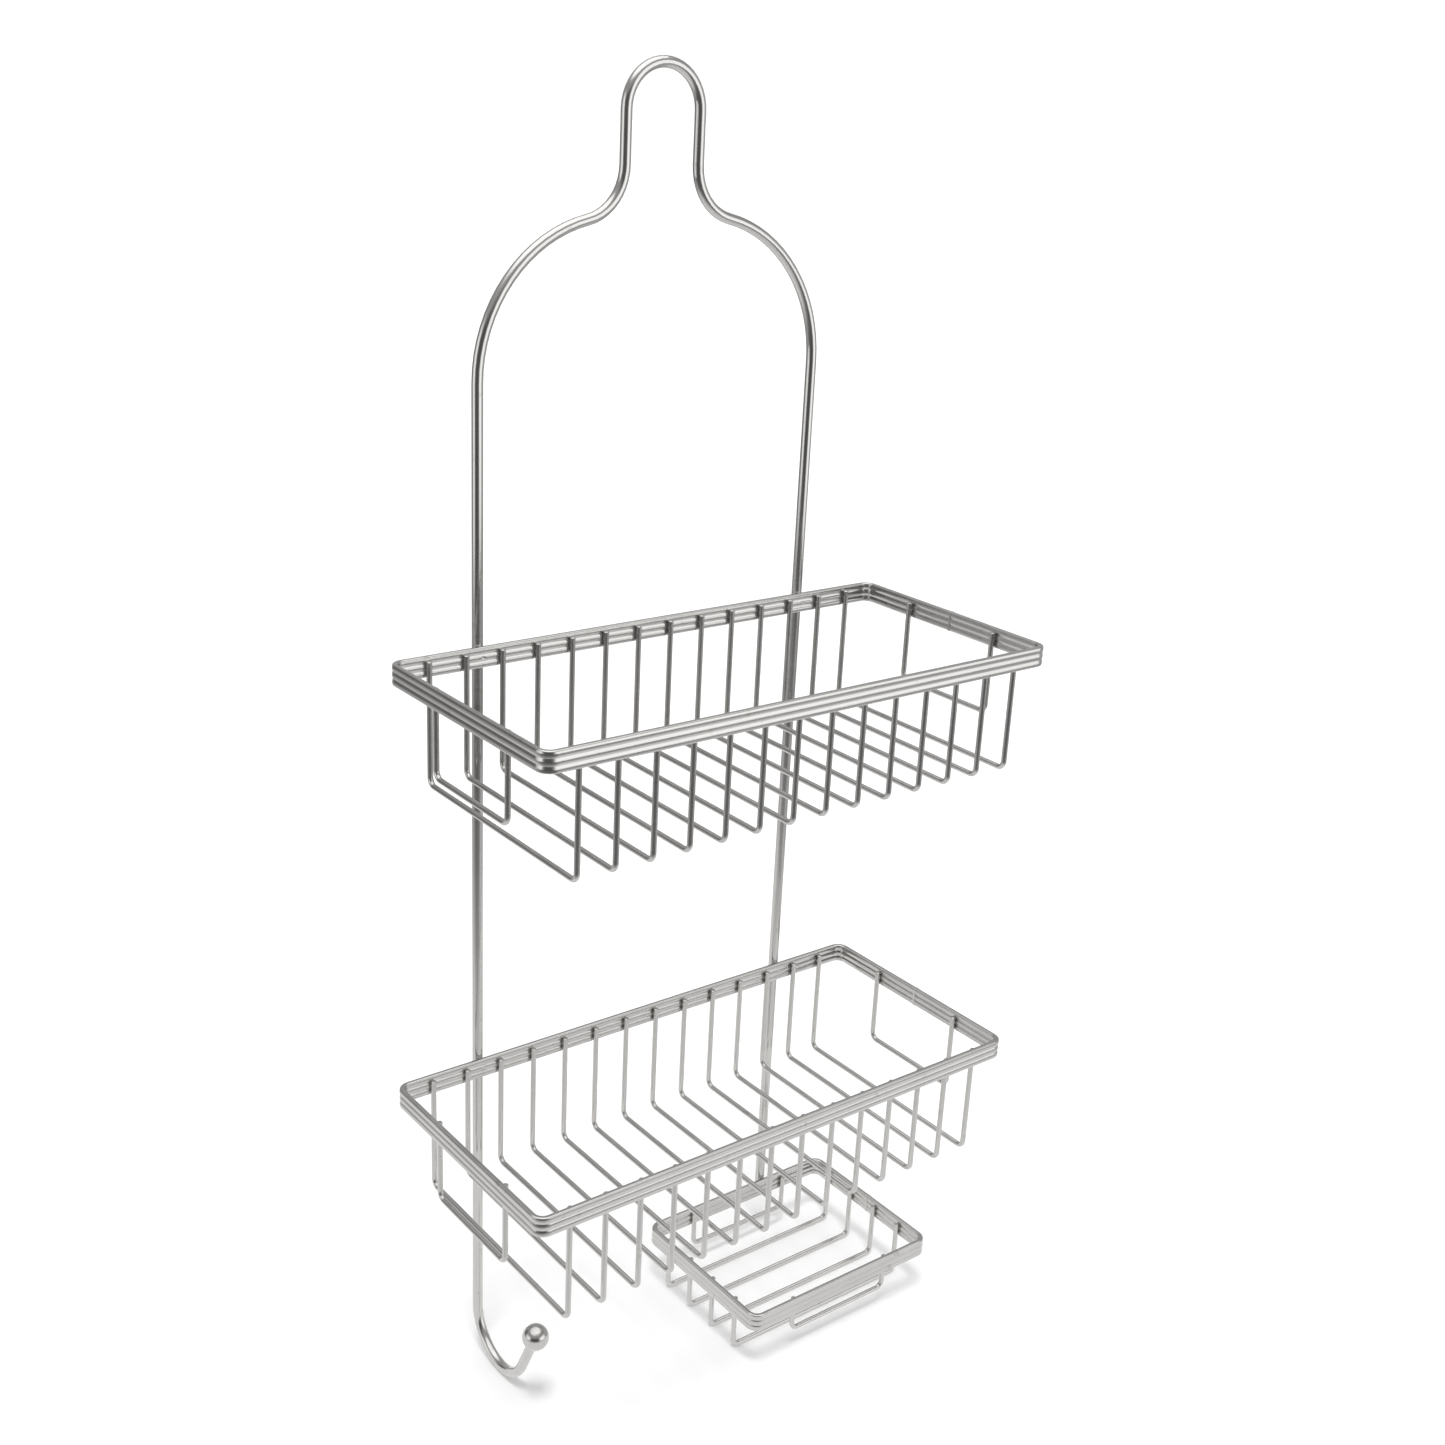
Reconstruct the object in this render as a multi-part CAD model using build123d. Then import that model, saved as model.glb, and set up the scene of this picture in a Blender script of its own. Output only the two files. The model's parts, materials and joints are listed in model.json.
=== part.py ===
from build123d import *
from math import acos, cos, radians, sin
import os

# Wire shower caddy: one bent hanger frame, two baskets and a soap dish with fluted rims.
# Millimetres, +Z up. X runs along the baskets, the wall is towards +Y and the
# user stands towards -Y. The origin is the point where the caddy hangs: the
# underside of the wire at the crown of its hanging loop.

# ---- wire and strip stock ----
FRAME_WIRE = 5.5            # hanger frame and hook
BASKET_WIRE = 2.8           # cross wires and guards
END_CHAMFER = 0.3           # broken edge on every cut wire end
RIM_THICKNESS = 3.0         # fluted flat strip, three shallow ribs high
RIB_HEIGHT = 3.5
FLUTE_DEPTH = 0.4           # the ribs are low arcs that meet at this depth
STRIP_ROUNDING = 0.9        # long edges along the top and bottom of the strip

# ---- hanger frame ----
UPRIGHT_SPACING = 200.0     # centre to centre
LOOP_RADIUS = 21.25         # all bend radii are to the wire's centre line
NECK_LENGTH = 24.5          # straight neck between the loop and the shoulders
NECK_BEND = 25.5
SHOULDER_BEND = 73.75
HOOK_BEND = 24.75
HOOK_START = -649.0        # height where the left upright starts to curl
HOOK_TURN = 154.5           # degrees
HOOK_TIP = 24.7             # straight wire between the curl and the ball
BALL_DIAMETER = 14.2
RIGHT_UPRIGHT_END = -653.0

# ---- baskets ----
BASKET_LENGTH = 297.0       # rim centre lines
BASKET_DEPTH = 135.0
RIM_CORNER = 5.5
UPPER_RIM_HEIGHT = -270.5   # middle of the rim strip
LOWER_RIM_HEIGHT = -497.0
BASKET_DROP = 59.0          # middle of the rim down to the floor wires
CROSS_WIRE_COUNT = 14
CROSS_WIRE_PITCH = 20.0
WIRE_BEND = 4.0
END_GUARD_DROP = 40.5
END_GUARD_SPAN = 63.0
END_GUARD_SHIFT = -1.75     # the end guards sit a little forward of centre

# ---- soap dish ----
DISH_LENGTH = 128.0
DISH_DEPTH = 99.25
DISH_RIGHT = 142.5          # rim centre line at the right-hand end
DISH_RIM_HEIGHT = -646.5
DISH_DROP = 29.1
DISH_WIRE_COUNT = 4
DISH_WIRE_PITCH = 21.0
DISH_WIRE_SHIFT = 3.0       # the dish floor wires sit a little back of centre
DISH_GUARD_SPAN = 68.0
DISH_GUARD_DROP = 18.0

# ---- welds ----
WELD_BITE = 0.014           # how far a welded cross wire sinks into the rim
SEAM_WIDTH = 1.4            # dressed butt weld that closes each rim, standing proud
SEAM_HEIGHT = 0.15
DIMPLE_RADIUS = 3.0         # electrode mark where a rim is welded to an upright
DIMPLE_DEPTH = 0.25
TOP_SETBACK = 2.0           # wire ends stop this far below the top of the rim

UPRIGHT_X = UPRIGHT_SPACING / 2
REAR_RIM_Y = -(FRAME_WIRE + RIM_THICKNESS) / 2
RIM_HALF_HEIGHT = 1.5 * RIB_HEIGHT
INSET = (RIM_THICKNESS + BASKET_WIRE) / 2 - WELD_BITE
LEG_TOP = RIM_HALF_HEIGHT - TOP_SETBACK


def sweep_round(path, diameter):
    """A round wire that follows the path."""
    start = Plane(origin=path @ 0, z_dir=path % 0)
    return sweep(start * Circle(diameter / 2), path=path).solid()


def break_ends(wire, diameter, points):
    """Chamfer the cut ends of a wire at the given points."""
    rims = []
    for point in points:
        near = wire.edges().filter_by(GeomType.CIRCLE).sort_by_distance(Vector(*point))
        rims.append(near[0])
    return chamfer(rims, END_CHAMFER).solid()


def bent_wire(corners, bend, diameter):
    """A wire through the corner points with equal rounded bends."""
    path = FilletPolyline(*corners, radius=bend)
    wire = sweep_round(path, diameter)
    return break_ends(wire, diameter, [corners[0], corners[-1]])


def u_wire(first, second, top, bottom):
    """Two upright legs joined by a straight floor; first and second are (x, y)."""
    corners = [(*first, top), (*first, bottom), (*second, bottom), (*second, top)]
    return bent_wire(corners, WIRE_BEND, BASKET_WIRE)


def strip_section():
    """The strip's cross section: both faces are three low arcs, one above the other."""
    face = RIM_THICKNESS / 2
    root = face - FLUTE_DEPTH
    lines = [Line((-root, z), (root, z)) for z in (-RIM_HALF_HEIGHT, RIM_HALF_HEIGHT)]
    for side in (-1, 1):
        for rib in (-1, 0, 1):
            middle = rib * RIB_HEIGHT
            lines.append(ThreePointArc(
                (side * root, middle - RIB_HEIGHT / 2), (side * face, middle),
                (side * root, middle + RIB_HEIGHT / 2)))
    outline = make_face([edge for line in lines for edge in line.edges()])
    corners = [v for v in outline.vertices() if abs(v.Y) > RIM_HALF_HEIGHT - 0.1]
    return fillet(corners, STRIP_ROUNDING)


def rim(x_left, x_right, y_front, height, weld_xs):
    """One rim: a fluted strip bent to a rectangle, butt welded halfway along the right side."""
    centre = ((x_left + x_right) / 2, (REAR_RIM_Y + y_front) / 2, height)
    outline = RectangleRounded(x_right - x_left, REAR_RIM_Y - y_front, RIM_CORNER)
    path = (Pos(*centre) * outline).face().outer_wire()
    along = path % 0
    start = Plane(origin=path @ 0, x_dir=Vector(0, 0, 1).cross(along), z_dir=along)
    strip = sweep(start * strip_section(), path=path).solid()

    # the dressed butt weld is a low band across the strip, over the ribs and the flutes
    band = RectangleRounded(
        RIM_THICKNESS + 2 * SEAM_HEIGHT, 2 * (RIM_HALF_HEIGHT + SEAM_HEIGHT), STRIP_ROUNDING)
    weld = extrude(band, SEAM_WIDTH / 2, both=True)
    weld = fillet(weld.edges().filter_by(Axis.Z, reverse=True), SEAM_HEIGHT)
    seam = Plane(origin=(x_right, centre[1], height), x_dir=(1, 0, 0), z_dir=(0, 1, 0)) * weld
    strip = strip + seam
    for x in weld_xs:
        # press the electrode's mark into the inner face, opposite the upright
        ball_y = REAR_RIM_Y - RIM_THICKNESS / 2 - DIMPLE_RADIUS + DIMPLE_DEPTH
        strip = strip - Pos(x, ball_y, height) * Sphere(DIMPLE_RADIUS)
    return strip.solid()


def basket(name, height):
    """Rim, U-shaped cross wires and the two end guards of one basket."""
    half = BASKET_LENGTH / 2
    y_front = REAR_RIM_Y - BASKET_DEPTH
    y_middle = (REAR_RIM_Y + y_front) / 2
    pieces = {f"{name}_rim": rim(-half, half, y_front, height, (-UPRIGHT_X, UPRIGHT_X))}
    for i in range(CROSS_WIRE_COUNT):
        x = (i - (CROSS_WIRE_COUNT - 1) / 2) * CROSS_WIRE_PITCH
        pieces[f"{name}_cross_wire_{i + 1:02d}"] = u_wire(
            (x, REAR_RIM_Y - INSET), (x, y_front + INSET), height + LEG_TOP, height - BASKET_DROP)
    for side, x in (("left", -half + INSET), ("right", half - INSET)):
        y = y_middle + END_GUARD_SHIFT
        pieces[f"{name}_{side}_end_guard"] = u_wire(
            (x, y + END_GUARD_SPAN / 2), (x, y - END_GUARD_SPAN / 2),
            height + LEG_TOP, height - END_GUARD_DROP)
    return pieces


def soap_dish():
    """The small dish below the baskets, under their right-hand half."""
    x_right = DISH_RIGHT
    x_left = x_right - DISH_LENGTH
    y_front = REAR_RIM_Y - DISH_DEPTH
    x_middle = (x_left + x_right) / 2
    y_middle = (REAR_RIM_Y + y_front) / 2 + DISH_WIRE_SHIFT
    height = DISH_RIM_HEIGHT
    pieces = {"soap_dish_rim": rim(x_left, x_right, y_front, height, (UPRIGHT_X,))}
    for i in range(DISH_WIRE_COUNT):
        y = y_middle + ((DISH_WIRE_COUNT - 1) / 2 - i) * DISH_WIRE_PITCH
        pieces[f"soap_dish_floor_wire_{i + 1}"] = u_wire(
            (x_left + INSET, y), (x_right - INSET, y), height + LEG_TOP, height - DISH_DROP)
    for side, y in (("rear", REAR_RIM_Y - INSET), ("front", y_front + INSET)):
        pieces[f"soap_dish_{side}_guard"] = u_wire(
            (x_middle - DISH_GUARD_SPAN / 2, y), (x_middle + DISH_GUARD_SPAN / 2, y),
            height + LEG_TOP, height - DISH_GUARD_DROP)
    return pieces


def hanger():
    """The one-piece frame, from the left hook over the loop to the right upright."""
    crown = FRAME_WIRE / 2
    loop_z = crown - LOOP_RADIUS
    neck_z = loop_z - NECK_LENGTH
    sweep_bends = NECK_BEND + SHOULDER_BEND
    turn = acos(1 - (UPRIGHT_X - LOOP_RADIUS) / sweep_bends)
    shoulder_z = neck_z - sweep_bends * sin(turn)

    def side(s):
        """Centre-line edges of one side, from the crown down to the upright."""
        loop = ThreePointArc(
            (0, 0, crown), (s * LOOP_RADIUS * sin(radians(45)), 0, loop_z + LOOP_RADIUS * cos(radians(45))),
            (s * LOOP_RADIUS, 0, loop_z))
        neck = Line((s * LOOP_RADIUS, 0, loop_z), (s * LOOP_RADIUS, 0, neck_z))
        bend_x = LOOP_RADIUS + NECK_BEND

        def neck_point(a):
            return (s * (bend_x - NECK_BEND * cos(a)), 0, neck_z - NECK_BEND * sin(a))

        def shoulder_point(a):
            return (s * (UPRIGHT_X - SHOULDER_BEND * (1 - cos(a))), 0,
                    shoulder_z + SHOULDER_BEND * sin(a))

        reverse = ThreePointArc(neck_point(0), neck_point(turn / 2), neck_point(turn))
        shoulder = ThreePointArc(neck_point(turn), shoulder_point(turn / 2), shoulder_point(0))
        return [loop, neck, reverse, shoulder]

    def hook_point(a):
        return (-UPRIGHT_X, -HOOK_BEND * (1 - cos(a)), HOOK_START - HOOK_BEND * sin(a))

    full = radians(HOOK_TURN)
    curl_end = Vector(*hook_point(full))
    rise = Vector(0, -sin(full), -cos(full))
    tip = curl_end + rise * HOOK_TIP
    flat = ((BALL_DIAMETER / 2) ** 2 - (FRAME_WIRE / 2) ** 2) ** 0.5
    ball_centre = tip + rise * flat

    left = side(-1) + [
        Line((-UPRIGHT_X, 0, shoulder_z), (-UPRIGHT_X, 0, HOOK_START)),
        ThreePointArc(hook_point(0), hook_point(full / 2), hook_point(full)),
        Line(curl_end, tip)]
    right = side(1) + [Line((UPRIGHT_X, 0, shoulder_z), (UPRIGHT_X, 0, RIGHT_UPRIGHT_END))]
    path = Wire(left + right)
    if (path @ 0 - tip).length > (path @ 1 - tip).length:
        first, last = (UPRIGHT_X, 0, RIGHT_UPRIGHT_END), tip
    else:
        first, last = tip, (UPRIGHT_X, 0, RIGHT_UPRIGHT_END)
    start = Plane(origin=path @ 0, z_dir=path % 0)
    frame = sweep(start * Circle(FRAME_WIRE / 2), path=path).solid()
    frame = break_ends(frame, FRAME_WIRE, [(UPRIGHT_X, 0, RIGHT_UPRIGHT_END)])

    # the ball is ground flat where the end of the hook is welded to it
    ball = Pos(*ball_centre) * Sphere(BALL_DIAMETER / 2)
    cutter = Plane(origin=tip, z_dir=-rise) * extrude(Circle(BALL_DIAMETER), BALL_DIAMETER)
    return {"hanger_frame": frame, "hook_ball": (ball - cutter).solid()}


nodes = hanger()
nodes.update(basket("upper_basket", UPPER_RIM_HEIGHT))
nodes.update(basket("lower_basket", LOWER_RIM_HEIGHT))
nodes.update(soap_dish())

os.makedirs("parts", exist_ok=True)
for node_name, shape in nodes.items():
    export_step(shape, f"parts/{node_name}.step")
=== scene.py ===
import json
from math import cos, radians, sin

import bmesh
import bpy
from mathutils import Euler, Matrix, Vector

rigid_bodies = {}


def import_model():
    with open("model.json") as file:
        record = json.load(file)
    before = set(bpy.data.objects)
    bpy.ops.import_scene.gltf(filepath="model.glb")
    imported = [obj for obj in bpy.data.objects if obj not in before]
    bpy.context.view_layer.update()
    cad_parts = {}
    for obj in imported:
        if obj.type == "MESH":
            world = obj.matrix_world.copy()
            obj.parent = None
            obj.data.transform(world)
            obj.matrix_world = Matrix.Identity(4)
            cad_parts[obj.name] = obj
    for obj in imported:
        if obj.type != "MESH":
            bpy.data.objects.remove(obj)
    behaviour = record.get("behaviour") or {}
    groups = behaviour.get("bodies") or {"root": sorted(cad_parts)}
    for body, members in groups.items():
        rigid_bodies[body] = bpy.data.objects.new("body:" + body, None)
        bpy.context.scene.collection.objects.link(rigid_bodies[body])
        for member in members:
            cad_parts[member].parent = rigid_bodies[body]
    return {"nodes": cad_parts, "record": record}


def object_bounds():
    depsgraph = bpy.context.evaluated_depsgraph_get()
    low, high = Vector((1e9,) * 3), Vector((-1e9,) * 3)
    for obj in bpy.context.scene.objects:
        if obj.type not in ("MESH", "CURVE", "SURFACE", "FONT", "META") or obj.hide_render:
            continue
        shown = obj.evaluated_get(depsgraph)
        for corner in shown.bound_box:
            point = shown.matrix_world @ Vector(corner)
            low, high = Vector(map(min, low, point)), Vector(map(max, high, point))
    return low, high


# start from an empty file
for leftover in list(bpy.data.objects):
    bpy.data.objects.remove(leftover)

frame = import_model()
cad_low, cad_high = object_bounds()
nodes = frame["nodes"]

# ------------------------------------------------------------------ camera
SENSOR_WIDTH = 36.0         # millimetres
LENS = 44.089
CAMERA_AT = (-0.5103, -0.7126, -0.00465)
AZIMUTH, DOWNWARD, ROLL = -38.32, 19.90, 2.84

camera_data = bpy.data.cameras.new("camera")
camera_data.sensor_width = SENSOR_WIDTH
camera_data.lens = LENS
camera_data.clip_end = 50
camera = bpy.data.objects.new("camera", camera_data)
bpy.context.scene.collection.objects.link(camera)
aim = Euler((radians(90 - DOWNWARD), 0, radians(AZIMUTH))).to_matrix()
turn = aim @ Matrix.Rotation(radians(ROLL), 3, "Z")
camera.matrix_world = Matrix.Translation(CAMERA_AT) @ turn.to_4x4()
bpy.context.scene.camera = camera


# ------------------------------------------------------------------ node helpers
def new_material(name):
    """A material with an empty node tree."""
    material = bpy.data.materials.new(name)
    material.use_nodes = True
    tree = material.node_tree
    tree.nodes.clear()
    return material, tree


def node(tree, kind, **values):
    """A new node; each value is set on the input of that name, or else on the node itself."""
    made = tree.nodes.new(kind)
    for key, value in values.items():
        if key in made.inputs:
            made.inputs[key].default_value = value
        else:
            setattr(made, key, value)
    return made


def ramp(tree, source, low, high, stops):
    """A curve of one value between low and high: stops are (value, grey) or (value, colour)."""
    scale = node(tree, "ShaderNodeMapRange")
    scale.inputs["From Min"].default_value = low
    scale.inputs["From Max"].default_value = high
    tree.links.new(source, scale.inputs["Value"])
    made = tree.nodes.new("ShaderNodeValToRGB")
    elements = made.color_ramp.elements
    while len(elements) < len(stops):
        elements.new(0.5)
    for element, (value, colour) in zip(elements, stops):
        element.position = (value - low) / (high - low)
        element.color = (*colour, 1) if isinstance(colour, tuple) else (colour, colour, colour, 1)
    tree.links.new(scale.outputs["Result"], made.inputs["Fac"])
    return made.outputs["Color"]


def mixed(tree, blend, first, second, factor=1.0):
    """Blend two colours; every argument after the blend is a socket or a constant."""
    mix = node(tree, "ShaderNodeMix", data_type="RGBA", blend_type=blend)
    colour_a, colour_b = mix.inputs[6], mix.inputs[7]
    for socket, value in ((mix.inputs["Factor"], factor), (colour_a, first), (colour_b, second)):
        if isinstance(value, bpy.types.NodeSocket):
            tree.links.new(value, socket)
        else:
            socket.default_value = value
    return mix.outputs[2]


# ------------------------------------------------------------------ materials
X, Y, Z = range(3)
STEEL = (0.66, 0.65, 0.635)
CLOUD_SHADE = 0.93          # the darker patches of the steel, as a share of its tone
SMUDGE = (0.86, 0.85, 0.83)
LINE_SHADE = 0.95
LINES_PER_METRE = 2600.0
LINE_RUN = 22.0             # noise cells per metre along the drawn lines
LINE_DEPTH = 0.000002


def streaks(tree, coords, across):
    """Fine drawn lines: noise that changes quickly along one axis and slowly along the others."""
    scale = tuple(LINES_PER_METRE if axis == across else LINE_RUN for axis in (X, Y, Z))
    mapping = node(tree, "ShaderNodeMapping", vector_type="POINT")
    mapping.inputs["Scale"].default_value = scale
    tree.links.new(coords, mapping.inputs["Vector"])
    noise = node(tree, "ShaderNodeTexNoise", Scale=1.0, Detail=2.0, Roughness=0.5)
    tree.links.new(mapping.outputs["Vector"], noise.inputs["Vector"])
    return noise.outputs["Fac"]


def steel(name, tone, rough_low, rough_high, across):
    """Satin stainless steel: drawn lines, soft cloudiness and faint handling marks."""
    material, tree = new_material(name)
    link = tree.links.new
    coords = node(tree, "ShaderNodeTexCoord").outputs["Object"]
    cloud = node(tree, "ShaderNodeTexNoise", Scale=38.0, Detail=4.0, Roughness=0.6)
    smudge = node(tree, "ShaderNodeTexNoise", Scale=150.0, Detail=2.0, Roughness=0.5)
    for texture in (cloud, smudge):
        link(coords, texture.inputs["Vector"])
    grain = streaks(tree, coords, across)
    dark = tuple(c * CLOUD_SHADE for c in tone)
    clouded = ramp(tree, cloud.outputs["Fac"], 0, 1, [(0.3, dark), (0.7, tone)])
    drawn = ramp(tree, grain, 0, 1, [(0.32, LINE_SHADE), (0.55, 1.0)])
    marks = ramp(tree, smudge.outputs["Fac"], 0, 1, [(0.24, SMUDGE), (0.34, 1.0)])
    colour = mixed(tree, "MULTIPLY", mixed(tree, "MULTIPLY", clouded, drawn), marks)
    rough = node(tree, "ShaderNodeMapRange")
    limits = {"From Min": 0.3, "From Max": 0.7, "To Min": rough_low, "To Max": rough_high}
    for socket, value in limits.items():
        rough.inputs[socket].default_value = value
    link(cloud.outputs["Fac"], rough.inputs["Value"])
    bump = node(tree, "ShaderNodeBump", Strength=0.25, Distance=LINE_DEPTH)
    link(grain, bump.inputs["Height"])
    shader = node(tree, "ShaderNodeBsdfPrincipled", Metallic=1.0)
    link(colour, shader.inputs["Base Color"])
    link(rough.outputs["Result"], shader.inputs["Roughness"])
    link(bump.outputs["Normal"], shader.inputs["Normal"])
    link(shader.outputs["BSDF"], node(tree, "ShaderNodeOutputMaterial").inputs["Surface"])
    return material


# roughness range, then the axis that the drawn lines cross
MATERIALS = {
    "hanger_wire": steel("satin_hanger_wire", STEEL, 0.16, 0.21, Y),
    "ball": steel("satin_ball", STEEL, 0.16, 0.20, X),
    "rim_strip": steel("satin_rim_strip", STEEL, 0.18, 0.23, Z),
    "basket_wire": steel("satin_basket_wire", STEEL, 0.20, 0.26, X),
}
SLOT_OF = {part["node"]: part["material_slot"] for part in frame["record"]["subparts"]}
for name, piece in nodes.items():
    for place in piece.material_slots:
        place.material = MATERIALS[SLOT_OF[name]]

# ------------------------------------------------------------------ stage
FLOOR_Z = cad_low.z - 0.0002
FLOOR_RADIUS = 30.0
FLOOR_GREY = 0.93
TABLE_RADIUS = 1.7
TABLE_GAP = 0.0004          # the table stands this far below the floor


def add_disc(name, radius, z):
    """A flat disc that belongs to the stage."""
    made = bmesh.new()
    bmesh.ops.create_circle(made, cap_ends=True, radius=radius, segments=128)
    mesh = bpy.data.meshes.new(name)
    made.to_mesh(mesh)
    made.free()
    disc = bpy.data.objects.new(name, mesh)
    disc.location.z = z
    bpy.context.scene.collection.objects.link(disc)
    return disc


floor = add_disc("floor", FLOOR_RADIUS, FLOOR_Z)
material, tree = new_material("studio_floor")
shader = node(tree, "ShaderNodeBsdfDiffuse", Color=(FLOOR_GREY, FLOOR_GREY, FLOOR_GREY, 1))
tree.links.new(shader.outputs["BSDF"], node(tree, "ShaderNodeOutputMaterial").inputs["Surface"])
floor.data.materials.append(material)
floor.visible_glossy = False


def toward_camera(tree, coords):
    """How far a place or direction lies towards the camera, and how far to the camera's right."""
    turned = radians(AZIMUTH)
    shares = []
    for axis in ((sin(turned), -cos(turned), 0), (cos(turned), sin(turned), 0)):
        dot = node(tree, "ShaderNodeVectorMath", operation="DOT_PRODUCT")
        tree.links.new(coords, dot.inputs[0])
        dot.inputs[1].default_value = axis
        shares.append(dot.outputs["Value"])
    return shares


# what the wires mirror of the table: bright beside the caddy, dimmer further out and to the front
table = add_disc("table_in_reflections", TABLE_RADIUS, FLOOR_Z - TABLE_GAP)
material, tree = new_material("table_glow")
coords = node(tree, "ShaderNodeTexCoord").outputs["Object"]
length = node(tree, "ShaderNodeVectorMath", operation="LENGTH")
tree.links.new(coords, length.inputs[0])
front, _ = toward_camera(tree, coords)
around = ramp(tree, length.outputs["Value"], 0, 2, [(0.0, 0.92), (0.45, 0.88), (0.75, 0.50), (1.6, 0.38)])
ahead = ramp(tree, front, -1, 2, [(-0.5, 1.0), (0.28, 1.0), (0.55, 0.48), (0.85, 0.34), (1.5, 0.30)])
emit = node(tree, "ShaderNodeEmission")
tree.links.new(mixed(tree, "MULTIPLY", around, ahead), emit.inputs["Color"])
tree.links.new(emit.outputs["Emission"], node(tree, "ShaderNodeOutputMaterial").inputs["Surface"])
table.data.materials.append(material)
table.visible_camera = False
table.visible_diffuse = False
table.visible_shadow = False
table.visible_transmission = False

# ------------------------------------------------------------------ lights
WHITE = (1, 1, 1, 1)
BACKDROP_STRENGTH = 1.05    # what the camera sees behind the caddy
FILL_STRENGTH = 0.74        # what lights the floor
ROOM_STRENGTH = 1.8         # what the wires mirror
SUN_ENERGY = 1.85
SUN_SPREAD = 16             # degrees
SUN_TILT = (14, -12, 0)

world = bpy.data.worlds.new("studio")
bpy.context.scene.world = world
world.use_nodes = True
tree = world.node_tree
tree.nodes.clear()
link = tree.links.new
direction = node(tree, "ShaderNodeTexCoord").outputs["Generated"]
front, right = toward_camera(tree, direction)
bearing = node(tree, "ShaderNodeMath", operation="ARCTAN2")
link(right, bearing.inputs[0])
link(front, bearing.inputs[1])
bearing_degrees = node(tree, "ShaderNodeMath", operation="DEGREES")
link(bearing.outputs["Value"], bearing_degrees.inputs[0])
# a light panel either side of the camera with the dark between them, and one dark band to the left
walls = ramp(tree, bearing_degrees.outputs["Value"], -180, 180, [
    (-180, 0.26), (-132, 0.25), (-118, 0.09), (-98, 0.09), (-86, 0.45), (-52, 0.80), (-38, 0.20),
    (-25, 0.06), (25, 0.06), (38, 0.20), (52, 0.80), (84, 0.80), (100, 0.26), (180, 0.26)])
split = node(tree, "ShaderNodeSeparateXYZ")
link(direction, split.inputs["Vector"])
# above the side panels the room is dim, up to one panel overhead; heights are the direction's Z
above = ramp(tree, split.outputs["Z"], -1, 1, [(0.30, 0.0), (0.50, 1.0)])
overhead = ramp(tree, split.outputs["Z"], -1, 1, [(0.50, 0.20), (0.72, 0.24), (0.86, 0.90)])
room = node(tree, "ShaderNodeBackground", Strength=ROOM_STRENGTH)
link(mixed(tree, "MIX", walls, overhead, above), room.inputs["Color"])
soft = node(tree, "ShaderNodeBackground", Color=WHITE, Strength=FILL_STRENGTH)
backdrop = node(tree, "ShaderNodeBackground", Color=WHITE, Strength=BACKDROP_STRENGTH)
path = node(tree, "ShaderNodeLightPath")
diffuse = node(tree, "ShaderNodeMixShader")
link(path.outputs["Is Diffuse Ray"], diffuse.inputs["Fac"])
link(room.outputs["Background"], diffuse.inputs[1])
link(soft.outputs["Background"], diffuse.inputs[2])
seen = node(tree, "ShaderNodeMixShader")
link(path.outputs["Is Camera Ray"], seen.inputs["Fac"])
link(diffuse.outputs["Shader"], seen.inputs[1])
link(backdrop.outputs["Background"], seen.inputs[2])
link(seen.outputs["Shader"], node(tree, "ShaderNodeOutputWorld").inputs["Surface"])

sun_data = bpy.data.lights.new("soft_top_light", "SUN")
sun_data.energy = SUN_ENERGY
sun_data.angle = radians(SUN_SPREAD)
sun = bpy.data.objects.new("soft_top_light", sun_data)
bpy.context.scene.collection.objects.link(sun)
sun.rotation_euler = [radians(angle) for angle in SUN_TILT]
sun.visible_glossy = False

bpy.context.scene.view_settings.view_transform = "Standard"
